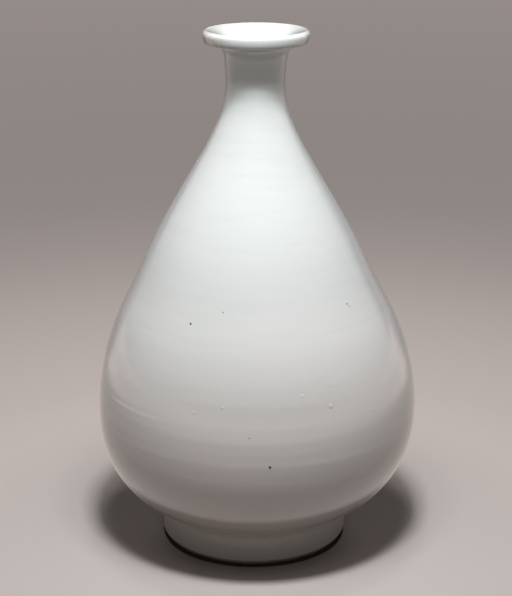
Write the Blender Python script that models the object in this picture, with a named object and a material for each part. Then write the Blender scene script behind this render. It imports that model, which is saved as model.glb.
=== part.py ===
"""White porcelain bottle with a flared lip, a slim neck and a heavy drop-shaped body.

It is built as a potter builds it: a foot ring, two thrown body sections and a neck collar, each luted
to the next with a layer of slip, under three coats of glaze. Every piece is a turned solid about +Z.
Units are metres. The origin is the centre of the plane that the foot stands on, and +Z is up.
Run it with: blender --background --python part.py
"""

import math

import bmesh
import bpy
import numpy as np

# Heights over the glaze, each measured up from the one before
FOOT_HEIGHT = 0.014  # standing plane to the fillet under the body
FOOT_FILLET_RISE = 0.004  # fillet between foot wall and body
BELLY_RISE = 0.060  # fillet to the widest ring of the belly
SHOULDER_RISE = 0.078  # belly to the straight flank of the shoulder
NECK_RISE = 0.113  # shoulder flank to the narrowest ring of the neck
MOUTH_RISE = 0.031  # neck to the crest of the lip

# Diameters over the glaze
FOOT_DIAMETER = 0.1100
BELLY_DIAMETER = 0.1865
SHOULDER_DIAMETER = 0.1404
NECK_DIAMETER = 0.0335
LIP_DIAMETER = 0.0580

# Foot
FOOT_FILLET_RUN = 0.002  # how far the fillet reaches outwards
FOOT_LAND = 0.0085  # width of the foot ring at the table, over its trimmed edges
FOOT_DRAFT = 0.0015  # how much the hole of the foot narrows upwards
FOOT_CHAMFER = 0.0004  # trimmed edges of the standing ring
BARE_EDGE = 0.0022  # height wiped clean of glaze above the standing plane

# Lip
LIP_ROLL = 0.0022  # crest of the lip out to its widest ring
LIP_RISE = 0.0034  # widest ring of the lip up to its crest
LIP_DROP = 0.0029  # widest ring of the lip down to its underside
LIP_FULLNESS = 4.0  # how square the lower half of the roll is, where 2 is an ellipse
FLARE_DIAMETER = 0.0384  # neck where it turns out under the lip
FLARE_DROP = 0.0042  # underside of the lip down to that ring

# Walls, glaze to glaze
FLOOR_WALL = 0.0100
BELLY_WALL = 0.0065
SHOULDER_WALL = 0.0055
NECK_WALL = 0.0050

# Layers and joints
GLAZE = 0.0005
FIT_GAP = 0.0003  # clearance between a coat of glaze and the clay
SLIP = 0.0010  # thickness of a luted joint
COLLAR_DEPTH = 0.025  # narrowest ring of the neck down to the collar's joint

# Slopes of the outline above the horizontal
FOOT_SLOPE = math.radians(35.5)
FLANK_SLOPE = math.radians(66.0)
FLARE_SLOPE = math.radians(77.0)

# Handles of the outline's curves, as shares of the height that each curve climbs
FOOT_PULL = 0.28
BELLY_PULL_BELOW = 0.62
BELLY_PULL_ABOVE = 0.53
FLANK_PULL_BELOW = 0.15
FLANK_PULL_ABOVE = 0.57
NECK_PULL_BELOW = 0.25
NECK_PULL_ABOVE = 0.20
FLARE_PULL = 0.65
DISH_PULL = 0.75
THROAT_PULL = 0.45
BOWL_PULL = 0.85

# Facets
SEGMENTS = 40
FILLET_STEPS = 2
BODY_STEPS = 6
FLANK_STEPS = 7
LIP_STEPS = 3
EDGE_STEPS = 3
INSIDE_STEPS = 4

# Colours and roughness
CLAY_COLOUR = (0.80, 0.78, 0.73)
SLIP_COLOUR = (0.77, 0.74, 0.69)
GLAZE_COLOUR = (0.80, 0.83, 0.81)
BARE_ROUGHNESS = 0.75
GLAZE_ROUGHNESS = 0.12

# Heights and radii that follow from the sizes above
FILLET_TOP = FOOT_HEIGHT + FOOT_FILLET_RISE
BELLY_HEIGHT = FILLET_TOP + BELLY_RISE
FLANK_HEIGHT = BELLY_HEIGHT + SHOULDER_RISE
NECK_HEIGHT = FLANK_HEIGHT + NECK_RISE
HEIGHT = NECK_HEIGHT + MOUTH_RISE
COLLAR_HEIGHT = NECK_HEIGHT - COLLAR_DEPTH
FLOOR_HEIGHT = FOOT_HEIGHT + FLOOR_WALL
LIP_WIDEST_HEIGHT = HEIGHT - LIP_RISE
LIP_UNDERSIDE_HEIGHT = LIP_WIDEST_HEIGHT - LIP_DROP
FLARE_HEIGHT = LIP_UNDERSIDE_HEIGHT - FLARE_DROP
CREST_RADIUS = LIP_DIAMETER / 2 - LIP_ROLL
COAT = GLAZE + FIT_GAP

# Directions in the half plane of the outline, as (outwards, upwards)
UP = np.array((0.0, 1.0))
OUT = np.array((1.0, 0.0))


def heading(slope, side):
    """A climbing direction at this slope, outwards for side 1 and inwards for side -1."""
    return np.array((side * math.cos(slope), math.sin(slope)))


def curve(start, leave, arrive, end, steps):
    """Points and wall-side normals along a cubic curve, whose handles are given as vectors of travel."""
    corners = (start, start + leave, end - arrive, end)
    t = np.linspace(0.0, 1.0, steps + 1)[:, None]
    s = 1.0 - t
    points = (
        s**3 * corners[0]
        + 3 * s**2 * t * corners[1]
        + 3 * s * t**2 * corners[2]
        + t**3 * corners[3]
    )
    travel = (
        s**2 * (corners[1] - corners[0])
        + 2 * s * t * (corners[2] - corners[1])
        + t**2 * (corners[3] - corners[2])
    )
    return points, wall_side(travel)


def quarter_round(centre, run, rise, start_angle, steps, fullness=2.0):
    """Points and wall-side normals along a quarter of an ellipse or squarer oval, turning anticlockwise."""
    angle = start_angle + np.linspace(0.0, math.pi / 2, steps + 1)
    sides = np.stack((np.cos(angle), np.sin(angle)), axis=1)
    shares = np.sign(sides) * np.abs(sides) ** (2.0 / fullness)
    reach = np.array((run, rise))
    outward = np.sign(shares) * np.abs(shares) ** (fullness - 1.0) / reach
    return centre + shares * reach, -outward / np.linalg.norm(outward, axis=1, keepdims=True)


def wall_side(travel):
    """Unit normals on the left of the travel, which is where the wall lies."""
    left = np.stack((-travel[:, 1], travel[:, 0]), axis=1)
    return left / np.linalg.norm(left, axis=1, keepdims=True)


def join(*stretches):
    """One outline from stretches that start where the last one ended."""
    points = [stretches[0][0]] + [points[1:] for points, _ in stretches[1:]]
    normals = [stretches[0][1]] + [normals[1:] for _, normals in stretches[1:]]
    return np.concatenate(points), np.concatenate(normals)


def outside_outline():
    """The finished outside, from the wiped edge of the foot up to the crest of the lip."""
    foot_radius = FOOT_DIAMETER / 2
    wiped = np.array((foot_radius, BARE_EDGE))
    foot_top = np.array((foot_radius, FOOT_HEIGHT))
    body_start = np.array((foot_radius + FOOT_FILLET_RUN, FILLET_TOP))
    belly = np.array((BELLY_DIAMETER / 2, BELLY_HEIGHT))
    flank = np.array((SHOULDER_DIAMETER / 2, FLANK_HEIGHT))
    neck = np.array((NECK_DIAMETER / 2, NECK_HEIGHT))
    flare = np.array((FLARE_DIAMETER / 2, FLARE_HEIGHT))
    lip_underside = np.array((CREST_RADIUS, LIP_UNDERSIDE_HEIGHT))
    lip_centre = np.array((CREST_RADIUS, LIP_WIDEST_HEIGHT))
    foot_way = heading(FOOT_SLOPE, 1)
    flank_way = heading(FLANK_SLOPE, -1)
    flare_way = heading(FLARE_SLOPE, 1)
    flare_climb = FLARE_HEIGHT - NECK_HEIGHT
    straight = (foot_top - wiped) / 3
    fillet_up = UP * FOOT_FILLET_RISE / 2
    fillet_out = foot_way * FOOT_FILLET_RUN / 2
    foot_pull = foot_way * FOOT_PULL * BELLY_RISE
    belly_below = UP * BELLY_PULL_BELOW * BELLY_RISE
    belly_above = UP * BELLY_PULL_ABOVE * SHOULDER_RISE
    flank_below = flank_way * FLANK_PULL_BELOW * SHOULDER_RISE
    flank_above = flank_way * FLANK_PULL_ABOVE * NECK_RISE
    neck_below = UP * NECK_PULL_BELOW * NECK_RISE
    neck_above = UP * NECK_PULL_ABOVE * flare_climb
    flare_pull = flare_way * FLARE_PULL * flare_climb
    return join(
        curve(wiped, straight, straight, foot_top, 1),
        curve(foot_top, fillet_up, fillet_out, body_start, FILLET_STEPS),
        curve(body_start, foot_pull, belly_below, belly, BODY_STEPS),
        curve(belly, belly_above, flank_below, flank, BODY_STEPS),
        curve(flank, flank_above, neck_below, neck, FLANK_STEPS),
        curve(neck, neck_above, flare_pull, flare, LIP_STEPS),
        curve(flare, flare_way * FLARE_DROP / 2, OUT * FLARE_DROP / 2, lip_underside, LIP_STEPS),
        quarter_round(lip_centre, LIP_ROLL, LIP_DROP, -math.pi / 2, EDGE_STEPS, LIP_FULLNESS),
        quarter_round(lip_centre, LIP_ROLL, LIP_RISE, 0.0, EDGE_STEPS),
    )


def inside_outline():
    """The finished inside, from the crest of the lip down the neck to the middle of the floor."""
    flank_way = heading(FLANK_SLOPE, -1)
    flank_normal = wall_side(flank_way[None, :])[0]
    crest = np.array((CREST_RADIUS - FIT_GAP, HEIGHT))
    neck = np.array((NECK_DIAMETER / 2 - NECK_WALL, NECK_HEIGHT))
    flank = np.array((SHOULDER_DIAMETER / 2, FLANK_HEIGHT)) + flank_normal * SHOULDER_WALL
    belly = np.array((BELLY_DIAMETER / 2 - BELLY_WALL, BELLY_HEIGHT))
    floor = np.array((0.0, FLOOR_HEIGHT))
    dish_pull = -OUT * DISH_PULL * (crest[0] - neck[0])
    throat_pull = -UP * THROAT_PULL * MOUTH_RISE
    neck_below = -UP * NECK_PULL_BELOW * NECK_RISE
    flank_above = -flank_way * FLANK_PULL_ABOVE * NECK_RISE
    flank_below = -flank_way * FLANK_PULL_BELOW * SHOULDER_RISE
    belly_above = -UP * BELLY_PULL_ABOVE * SHOULDER_RISE
    bowl_side = -UP * BOWL_PULL * (belly[1] - floor[1])
    bowl_floor = -OUT * BOWL_PULL * belly[0] / 2
    return join(
        curve(crest, dish_pull, throat_pull, neck, INSIDE_STEPS),
        curve(neck, neck_below, flank_above, flank, INSIDE_STEPS),
        curve(flank, flank_below, belly_above, belly, INSIDE_STEPS),
        curve(belly, bowl_side, bowl_floor, floor, INSIDE_STEPS),
    )


def sunk(outline, depth):
    """The outline moved into the wall by this depth."""
    points, normals = outline
    moved = points + normals * depth
    return np.stack((np.maximum(moved[:, 0], 0.0), moved[:, 1]), axis=1)


def between(line, low, high):
    """The stretch of a line between two heights, with new end points exactly at those heights."""
    rising = line[-1, 1] > line[0, 1]
    path = line if rising else line[::-1]
    inner = path[(path[:, 1] > low) & (path[:, 1] < high)]
    ends = [np.array((np.interp(height, path[:, 1], path[:, 0]), height)) for height in (low, high)]
    first = [ends[0]] if path[0, 1] < low else []
    last = [ends[1]] if path[-1, 1] > high else []
    cut = np.array(first + list(inner) + last)
    return cut if rising else cut[::-1]


def material(name, colour, roughness):
    made = bpy.data.materials.new(name)
    made.use_nodes = True
    shader = made.node_tree.nodes["Principled BSDF"]
    shader.inputs["Base Color"].default_value = (*colour, 1.0)
    shader.inputs["Roughness"].default_value = roughness
    shader.inputs["Metallic"].default_value = 0.0
    return made


def turned(name, profile, finish, parent):
    """A solid turned about +Z. The profile is a loop, or a line whose two ends lie on the axis."""
    shape = bmesh.new()
    ring = [shape.verts.new((radius, 0.0, height)) for radius, height in profile]
    edges = [shape.edges.new(pair) for pair in zip(ring, ring[1:])]
    if profile[0][0] > 0.0:
        edges.append(shape.edges.new((ring[-1], ring[0])))
    bmesh.ops.spin(
        shape,
        geom=ring + edges,
        axis=(0.0, 0.0, 1.0),
        cent=(0.0, 0.0, 0.0),
        angle=2 * math.pi,
        steps=SEGMENTS,
        use_merge=True,
    )
    bmesh.ops.remove_doubles(shape, verts=shape.verts[:], dist=1e-6)
    bmesh.ops.recalc_face_normals(shape, faces=shape.faces[:])
    mesh = bpy.data.meshes.new(name)
    shape.to_mesh(mesh)
    shape.free()
    mesh.shade_smooth()
    mesh.set_sharp_from_angle(angle=math.radians(40.0))
    mesh.materials.append(finish)
    piece = bpy.data.objects.new(name, mesh)
    piece.parent = parent
    bpy.context.scene.collection.objects.link(piece)
    return piece


def slip_joint(clay_outside, clay_inside, height):
    """A flat ring of slip across the wall, centred on this height."""
    low, high = height - SLIP / 2, height + SLIP / 2
    return np.concatenate((between(clay_outside, low, high), between(clay_inside, low, high)))


def clear_scene():
    for old in list(bpy.data.objects):
        bpy.data.objects.remove(old, do_unlink=True)


def main():
    clear_scene()
    bottle = bpy.data.objects.new("bottle", None)
    bpy.context.scene.collection.objects.link(bottle)
    outside = outside_outline()
    inside = inside_outline()
    clay_outside = sunk(outside, COAT)
    clay_inside = sunk(inside, COAT)

    # Foot ring, with trimmed edges and a hole that narrows upwards
    foot_radius = FOOT_DIAMETER / 2 - COAT
    hole_radius = foot_radius - FOOT_LAND
    hole_top_radius = hole_radius - FOOT_DRAFT
    foot_top = FOOT_HEIGHT - SLIP
    foot_profile = [
        (foot_radius, foot_top),
        (foot_radius, FOOT_CHAMFER),
        (foot_radius - FOOT_CHAMFER, 0.0),
        (hole_radius + FOOT_CHAMFER, 0.0),
        (hole_radius, FOOT_CHAMFER),
        (hole_top_radius, foot_top),
    ]
    turned("foot_ring", foot_profile, material("foot_clay", CLAY_COLOUR, BARE_ROUGHNESS), bottle)

    # Slip between the foot ring and the flat underside of the body
    foot_slip = [
        (foot_radius, FOOT_HEIGHT),
        (foot_radius, foot_top),
        (hole_top_radius, foot_top),
        (hole_top_radius, FOOT_HEIGHT),
    ]
    turned("foot_slip_joint", foot_slip, material("foot_slip", SLIP_COLOUR, BARE_ROUGHNESS), bottle)

    # Lower body, a bowl with a flat underside and a rounded floor
    belly_low = BELLY_HEIGHT - SLIP / 2
    belly_high = BELLY_HEIGHT + SLIP / 2
    bowl_inside = between(clay_inside, -HEIGHT, belly_low)[::-1]
    bowl_outside = between(clay_outside, FOOT_HEIGHT, belly_low)[::-1]
    bowl = np.concatenate((bowl_inside, bowl_outside, [(0.0, FOOT_HEIGHT)]))
    turned("lower_body", bowl, material("lower_clay", CLAY_COLOUR, BARE_ROUGHNESS), bottle)

    # Slip at the widest ring, where the two thrown sections meet
    belly_slip = slip_joint(clay_outside, clay_inside, BELLY_HEIGHT)
    turned("belly_slip_joint", belly_slip, material("belly_slip", SLIP_COLOUR, BARE_ROUGHNESS), bottle)

    # Upper body, from the belly to the foot of the neck
    collar_low = COLLAR_HEIGHT - SLIP / 2
    collar_high = COLLAR_HEIGHT + SLIP / 2
    upper = np.concatenate(
        (between(clay_outside, belly_high, collar_low), between(clay_inside, belly_high, collar_low))
    )
    turned("upper_body", upper, material("upper_clay", CLAY_COLOUR, BARE_ROUGHNESS), bottle)

    # Slip at the foot of the neck
    neck_slip = slip_joint(clay_outside, clay_inside, COLLAR_HEIGHT)
    turned("neck_slip_joint", neck_slip, material("neck_slip", SLIP_COLOUR, BARE_ROUGHNESS), bottle)

    # Neck collar with the rolled lip and the dished mouth
    collar = np.concatenate(
        (between(clay_outside, collar_high, HEIGHT), between(clay_inside, collar_high, HEIGHT))
    )
    turned("neck_collar", collar, material("collar_clay", CLAY_COLOUR, BARE_ROUGHNESS), bottle)

    # Glaze outside, from the wiped edge of the foot to the crest of the lip
    outer_coat = np.concatenate((sunk(outside, 0.0), sunk(outside, GLAZE)[::-1]))
    turned("outer_glaze", outer_coat, material("outer_glaze", GLAZE_COLOUR, GLAZE_ROUGHNESS), bottle)

    # Glaze inside, from the crest of the lip to the middle of the floor
    inner_coat = np.concatenate((sunk(inside, GLAZE)[::-1], sunk(inside, 0.0)))
    turned("inner_glaze", inner_coat, material("inner_glaze", GLAZE_COLOUR, GLAZE_ROUGHNESS), bottle)

    # Glaze in the hollow of the foot, on the underside of the body and the wall of the hole
    under = FOOT_HEIGHT - FIT_GAP
    wall_low = hole_radius - FOOT_DRAFT * BARE_EDGE / foot_top - FIT_GAP
    wall_high = hole_top_radius - FIT_GAP
    base_coat = [
        (0.0, under),
        (wall_high, under),
        (wall_low, BARE_EDGE),
        (wall_low - GLAZE, BARE_EDGE),
        (wall_high - GLAZE, under - GLAZE),
        (0.0, under - GLAZE),
    ]
    turned("base_glaze", base_coat, material("base_glaze", GLAZE_COLOUR, GLAZE_ROUGHNESS), bottle)


main()
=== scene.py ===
"""Looks of a white porcelain bottle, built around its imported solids.

Every turned piece is made again as a fine surface on the outline of its solid. One tree of geometry nodes
turns them all, so that the throwing rings, the lean and the wavy lip of clay and glaze agree.
Specks of iron and grains of kiln grit are scattered on the finished surfaces.
Units are metres, +Z is up, and the photograph looks along +Y.
"""

import math

import bmesh
import bpy
import numpy as np
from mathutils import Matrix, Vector


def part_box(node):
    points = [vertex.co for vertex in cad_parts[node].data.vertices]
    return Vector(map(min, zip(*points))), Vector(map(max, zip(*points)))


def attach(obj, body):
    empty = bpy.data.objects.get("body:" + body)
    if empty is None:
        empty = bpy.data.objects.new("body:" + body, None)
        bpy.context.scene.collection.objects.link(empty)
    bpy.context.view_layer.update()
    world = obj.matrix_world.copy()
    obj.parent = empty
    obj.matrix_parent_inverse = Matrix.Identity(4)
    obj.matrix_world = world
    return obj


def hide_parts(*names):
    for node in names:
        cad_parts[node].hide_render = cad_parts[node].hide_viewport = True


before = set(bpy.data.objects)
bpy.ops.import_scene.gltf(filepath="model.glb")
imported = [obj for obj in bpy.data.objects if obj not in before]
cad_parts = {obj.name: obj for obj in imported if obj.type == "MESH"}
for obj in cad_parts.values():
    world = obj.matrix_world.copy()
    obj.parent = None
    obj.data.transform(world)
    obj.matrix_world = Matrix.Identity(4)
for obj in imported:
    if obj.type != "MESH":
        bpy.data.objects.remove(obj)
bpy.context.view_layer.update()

# Heights and radii taken from the solids
LIP_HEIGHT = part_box("outer_glaze")[1].z
LIP_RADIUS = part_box("neck_collar")[1].x
FOOT_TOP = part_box("foot_slip_joint")[1].z
FOOT_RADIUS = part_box("foot_ring")[1].x
WIPED_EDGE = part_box("outer_glaze")[0].z
BELLY_SEAM = sum(corner.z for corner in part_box("belly_slip_joint")) / 2

# How fine the turned surfaces are
SEGMENTS = 192
SHOWN_STEP = 0.0010  # spacing of rows on surfaces that show
HIDDEN_STEP = 0.0045  # spacing of rows between clay and glaze
CORNER_TURN = math.radians(50)  # a curved outline that turns more than this has a corner there
TRIMMED_TURN = math.radians(30)  # the same for a straight-sided outline
LONG_STEP = 4.0  # a step of an outline this many times longer than the next one is split
ON_AXIS = 1e-4  # a radius below this is on the axis
IN_PLANE = 1e-5  # corners of a solid this close to the plane of its outline are on it
SAME_PLACE = 1e-6  # corners of a solid this close together are one
CLOSED = 1e-5  # points this close are joined where a turned surface meets itself

# Sideways set of the thrown sections, as (height, offset to the right)
LEAN = (
    (0.000, -0.0011),
    (0.030, -0.0003),
    (0.085, 0.0010),
    (0.140, 0.0003),
    (0.200, -0.0005),
    (0.265, -0.0001),
    (0.300, 0.0004),
)
LEAN_STEP = 0.001  # spacing of heights at which it is worked out

# Unevenness left by throwing and firing
RING_DEPTH = 0.00008
RING_SPACING = 0.0062
RING_DRIFT = 0.3  # how much the rings change around the pot
RING_ZONE = (0.002, 0.020)  # radii between which the rings set in
OVAL = 0.0012  # share of the radius
OVAL_TURN = 0.9  # way that the oval lies, in radians
LIP_WAVE = 0.00022
LIP_WAVE_DEPTH = 0.016  # how far below the lip the wave sets in
LIP_WAVE_SET = -0.3  # the wave sinks further than it rises
EDGE_WANDER = 0.0004
EDGE_DEPTH = 0.004  # how far above its wiped edge the glaze wanders with it

# Slices of the noise around the pot, as (level, scale), so that these differ from each other
MARK_NOISE = (4.7, 1.6)
WAVE_NOISE = (9.1, 1.1)
WANDER_NOISE = (2.3, 3.5)

# Marks around the outside, as (name, height, how far it stands proud, half its width,
# the side that it shows on in degrees from +X, and the cosine at which it fades)
TOOL_MARKS = (
    ("Seam", BELLY_SEAM, 0.00010, 0.0020, 265.0, 0.30),
    ("Dent", 0.0995, -0.00011, 0.0008, 217.0, 0.93),
)
MARK_INPUTS = ("Height", "Depth", "Width", "Side", "Fade")
MARK_LEAST = 0.4  # strength of a mark where it is weakest
MARK_RANGE = (0.25, 0.75)  # noise between which it grows to its full strength

# The foot's wall ends in a crisp corner, a little above the fillet of the solids
CORNER_LIFT = 0.0024
CORNER_WIDTH = 0.0060  # how far from the foot's radius the lift reaches
CORNER_START = (0.004, 0.0145)  # heights between which the lift grows
CORNER_END = (0.0175, 0.0320)  # heights between which it fades
CORNER_REACH = 0.008  # low points this close to the foot's radius are spaced more finely
CORNER_STEP = 0.0006  # their spacing
CORNER_ZONE = (0.011, 0.030)  # heights between which the corner is smoothed
CORNER_PASSES = 6  # how often it is smoothed

# The lip is a little lower than the solids, is widest near its crest, and its lower edge droops
LIP_SPREAD = 0.011  # share of its radius
LIP_SINK = 0.0005
LIP_ZONE = (LIP_HEIGHT - 0.0220, LIP_HEIGHT - 0.0050)  # heights between which both grow
COAT_GAP = 0.0003  # gap that the solids leave between the two coats on the crest
RIM_ZONE = (LIP_HEIGHT - 0.0030, LIP_HEIGHT - 0.0006)  # heights between which the inner coat closes it
CREST_SPREAD = 0.029  # share of the radius that the crest spreads further
CREST_ZONE = (LIP_HEIGHT - 0.0062, LIP_HEIGHT - 0.0010)  # heights between which that grows
LIP_DROOP = 0.0010
LIP_EDGE = (LIP_HEIGHT - 0.0066, 0.0018)  # height and half width of the edge that droops

# Iron specks on the front, as (sideways place, height, radius)
SPECKS = (
    (-0.0351, 0.1501, 0.00062),
    (0.0078, 0.0784, 0.00075),
    (-0.0174, 0.1577, 0.00036),
    (0.0503, 0.1564, 0.00048),
    (0.0517, 0.1548, 0.00034),
    (-0.0034, 0.0949, 0.00034),
)

# Pimples under the glaze, in the same way
PIMPLES = (
    (0.0255, 0.1161, 0.0010),
    (0.0408, 0.1087, 0.0013),
    (0.0159, 0.1531, 0.0007),
    (-0.0179, 0.1106, 0.0010),
    (-0.0336, 0.1062, 0.0009),
    (-0.0430, 0.1003, 0.0008),
    (0.0647, 0.1006, 0.0011),
)

# Marked flaws land where a look along +Y, from a plane in front of the bottle, meets the glaze
LOOK_FROM = -1.0
LOOK_WAY = (0.0, 1.0, 0.0)
LOOK_LENGTH = 2.0

# Strewn grains, as (smallest radius, largest radius, number per square metre)
STREWN_SPECKS = (0.00012, 0.0005, 220.0)
STREWN_GRIT = (0.00008, 0.00026, 260000.0)
STREWN_FROM = -0.015  # strewn specks lie behind this, mostly out of the photograph's sight
OUTWARD = 0.001  # least outward facing, times the radius, of a face that gets specks
UPRIGHT = 0.9  # largest slope of a face that gets grit
MOSTLY_SMALL = 4.0  # the higher, the fewer large grains
GRAIN_FLATNESS = 0.4
GRAIN_SEED = 7
PIMPLE_INPUTS = {"Flatness": 0.06, "Smallest": 0.0005, "Largest": 0.0013, "Seed": 4}

# Colours, as linear red, green, blue and alpha
GLAZE_CLEAR = (0.788, 0.808, 0.811, 1.0)
# Painted light: a warm tone low on the body, as of light bounced from the warm floor
GLAZE_WARM_BOUNCE = (0.805, 0.758, 0.736, 1.0)
GLAZE_POOLED = (0.680, 0.735, 0.715, 1.0)
GLAZE_THIN = (0.840, 0.815, 0.750, 1.0)
GLAZE_STAIN = (0.470, 0.340, 0.230, 1.0)
# Grey of the worn foot wall, darker low down as painted shade, and of a band of painted shade below the
# belly's seam
GLAZE_WORN_SHADE = (0.420, 0.388, 0.352, 1.0)
# Painted light: a pale band that lightens the belly's shaded underside above the foot
GLAZE_PAINTED_LIGHT = (0.890, 0.845, 0.820, 1.0)
CLAY_LIGHT = (0.620, 0.530, 0.420, 1.0)
CLAY_FLASH = (0.450, 0.240, 0.120, 1.0)
CLAY_GRAIN = (0.100, 0.070, 0.050, 1.0)
# Painted shade on the bare strip of the foot next to the floor
CLAY_PAINTED_SHADE = (0.022, 0.018, 0.015, 1.0)
IRON_DARK = (0.035, 0.022, 0.015, 1.0)
IRON_PALE = (0.120, 0.075, 0.045, 1.0)
IRON_SCALE = 300.0  # noise between these two
FLOOR_NEAR = (0.600, 0.545, 0.527, 1.0)
FLOOR_BOUNCE = (0.142, 0.110, 0.098, 1.0)
FLOOR_CONTACT_SHADOW = (0.012, 0.010, 0.009, 1.0)

# The glaze gathers in hollows, as (height, half width, strength), in clouds, and in streaks around the pot
POOLS = (
    (FOOT_TOP + 0.002, 0.006, 0.12),
    (LIP_HEIGHT - 0.0065, 0.0027, 1.1),
    (LIP_HEIGHT - 0.0240, 0.0150, 0.7),
)
POOL_SCALE = 55.0
POOL_LEAST = 0.45  # share of a pool that is left where the noise is lowest
CLOUD_SCALE = 13.0
CLOUD_RANGE = (0.30, 0.85)
CLOUD_POOL = 0.25
STREAK_SCALE = (24.0, 24.0, 260.0)  # noise per metre, sideways and upwards
STREAK_RANGE = (0.42, 0.74)
STREAK_POOL = 0.24
WARM_BOUNCE_ZONE = (0.08, 0.20)  # heights between which the painted warm light, as bounced from the floor, turns into the clear tone

# It is thin, grey and dull on the wall of the foot, and more so low down, where its darker grey is painted
# shade
WORN_SHADE_ZONE = (FOOT_TOP + 0.0025, FOOT_TOP + 0.0070)  # heights between which that ends
WORN_SHADE_LEAST = 0.72  # strength at the top of the wall; at the floor it is 1
WORN_ROUGH = 0.35
WORN_DULL = 0.9  # share of the gloss that is gone

# Bands of painted light and shade, as (colour, height, half width, strength): painted light above the foot,
# on the belly's shaded underside, and painted shade below the belly's seam
PAINTED_BANDS = (
    ("Painted Light", 0.0310, 0.0085, 0.85),
    # Painted shade: a darker band below the belly's seam, where the light turns away
    ("Worn Shade", 0.0725, 0.0085, 0.12),
)

# It runs thin over the crest of the lip, and has an old stain on the left of it
THIN_ZONE = (LIP_HEIGHT - 0.0028, LIP_HEIGHT - 0.0004)
THIN_SHARE = 0.55
STAIN_BAND = (LIP_HEIGHT - 0.0048, 0.0030)  # height and half width
STAIN_SIDE = (LIP_RADIUS * 0.42, LIP_RADIUS * 0.95)  # distances to the left between which it grows
STAIN_SCALE = 260.0
STAIN_RANGE = (0.40, 0.68)
STAIN_PATCHES = (0.62, 0.30)  # strength of its patches, and of what lies between them
STAIN_TIP = (LIP_RADIUS * 0.90, LIP_RADIUS * 1.02)  # the far left is stained all over
STAIN_TIP_SHARE = 0.8
STAIN_ROUGH = 0.2
GLOSS_SCALE = 38.0  # noise between the smoothest and the dullest glaze
COAT_ROUGHNESS = 0.12

# Bare clay: patches toasted by the fire, dark dots, and painted shade on the strip between floor and glaze
TOAST_SCALE = 45.0
TOAST_RANGE = (0.40, 0.70)
DOT_SCALE = 1400.0
DOT_RANGE = (0.70, 0.78)
DOT_SHARE = 0.6
PAINTED_SHADE_START = (0.0001, 0.0003)  # heights between which it sets in above the standing face
PAINTED_SHADE_STRIP = (0.0024, 0.0030, 0.70)  # heights between which it ends, and its strength
PAINTED_SHADE_RIM = (0.0004, 0.0012, 0.30)  # the same for more of it next to the floor

# The floor's warm tint, and its brightness as (distance from the bottle, level)
FLOOR_TINT = (1.075, 0.945, 0.900)
FLOOR_REACH = 3.0  # distance at which the ramp of levels ends
FLOOR_LEVELS = (
    (0.15, 0.515),
    (0.25, 0.470),
    (0.45, 0.370),
    (0.60, 0.302),
    (0.80, 0.246),
    (1.40, 0.252),
    (2.60, 0.280),
)

# Painted shadow: a dark line where the foot meets the floor, with a softer painted shade in front
CONTACT_WIDTH = (0.0054, 0.0008)  # how much wider it is in front, and its width elsewhere
CONTACT_BLACK = 0.5  # share of its width that is fully dark
CONTACT_AHEAD = (0.05, 0.9)  # where it widens, as the cosine from straight in front
CONTACT_FADE = (0.025, 0.66)  # reach and strength of the softer shade

# Beyond the shadow the floor has an even tone
SHADOW_CENTRE = (0.0, -0.020, 0.0)
SHADOW_ZONE = (0.10, 0.23)  # distances from that centre between which the even tone sets in
MIRRORED_NEARER = 0.6  # the even tone starts closer to the bottle where the glaze mirrors it
FLOOR_MIRRORED = 2.9  # how much brighter the neck mirrors the floor beside the bottle
BESIDE_ZONE = (0.40, 0.65)  # distances from the bottle between which that sets in
FLOOR_HALF = 8.0  # half the width of the floor

# Studio light: the walls as they light the bottle, and as the glaze mirrors them
WALL_COLOUR = (1.0, 0.97, 0.94)
WALL_LIGHT = 0.48
WALL_TOP = (0.10, 0.55)  # where the walls end, as the sine of the angle above the floor
CEILING_LIGHT = 0.03
BACK_MIRRORED = 0.12
SIDES_MIRRORED = 0.50
FRONT_MIRRORED = 0.20
BACK_EDGE = (0.62, 0.80)  # how far back the side walls fade, as the cosine from straight behind
BACK_SKEW = 0.09  # the right wall ends further forward than the left one
FRONT_EDGE = (0.0, 0.9)  # where the front sets in, as the cosine from straight in front

# Softboxes above the bottle, as (name, place, width and depth, watts)
SOFTBOXES = (
    ("key_softbox", (0.008, -0.2800, 0.85), (0.120, 0.100), 4.26),
    ("left_softbox", (-0.074, -0.2010, 0.62), (0.080, 0.060), 0.40),
    ("right_softbox", (0.080, -0.1960, 0.62), (0.080, 0.060), 0.48),
    ("top_softbox", (0.000, 0.0300, 1.20), (0.150, 0.120), 1.20),
)
BOX_AIM = Vector((0.0, 0.0, 0.10))
BOX_COLOUR = (0.985, 1.0, 1.0)

# Camera and image
IMAGE_HEIGHT = 596
FOCAL_PIXELS = 1529.0
SENSOR = 36.0
CAMERA_AIM = Vector((0.0003, 0.0, 0.1439))
CAMERA_DISTANCE = 0.8901
CAMERA_ELEVATION = math.radians(18.08)


# Node helpers


def feed(tree, socket, value):
    """Sets a socket to a value, or wires it to another node's output."""
    if isinstance(value, bpy.types.NodeSocket):
        tree.links.new(value, socket)
    else:
        socket.default_value = value


def add(tree, kind, inputs=None, **settings):
    """A node with its settings and its named inputs."""
    node = tree.nodes.new(kind)
    for name, value in settings.items():
        setattr(node, name, value)
    for name, value in (inputs or {}).items():
        feed(tree, node.inputs[name], value)
    return node


def maths(tree, operation, *values):
    """The result of a calculation with numbers and other nodes' outputs."""
    node = tree.nodes.new("ShaderNodeMath")
    node.operation = operation
    for socket, value in zip(node.inputs, values):
        feed(tree, socket, value)
    return node.outputs[0]


def times(tree, first, *others):
    """The product of numbers and other nodes' outputs."""
    for value in others:
        first = maths(tree, "MULTIPLY", first, value)
    return first


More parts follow.
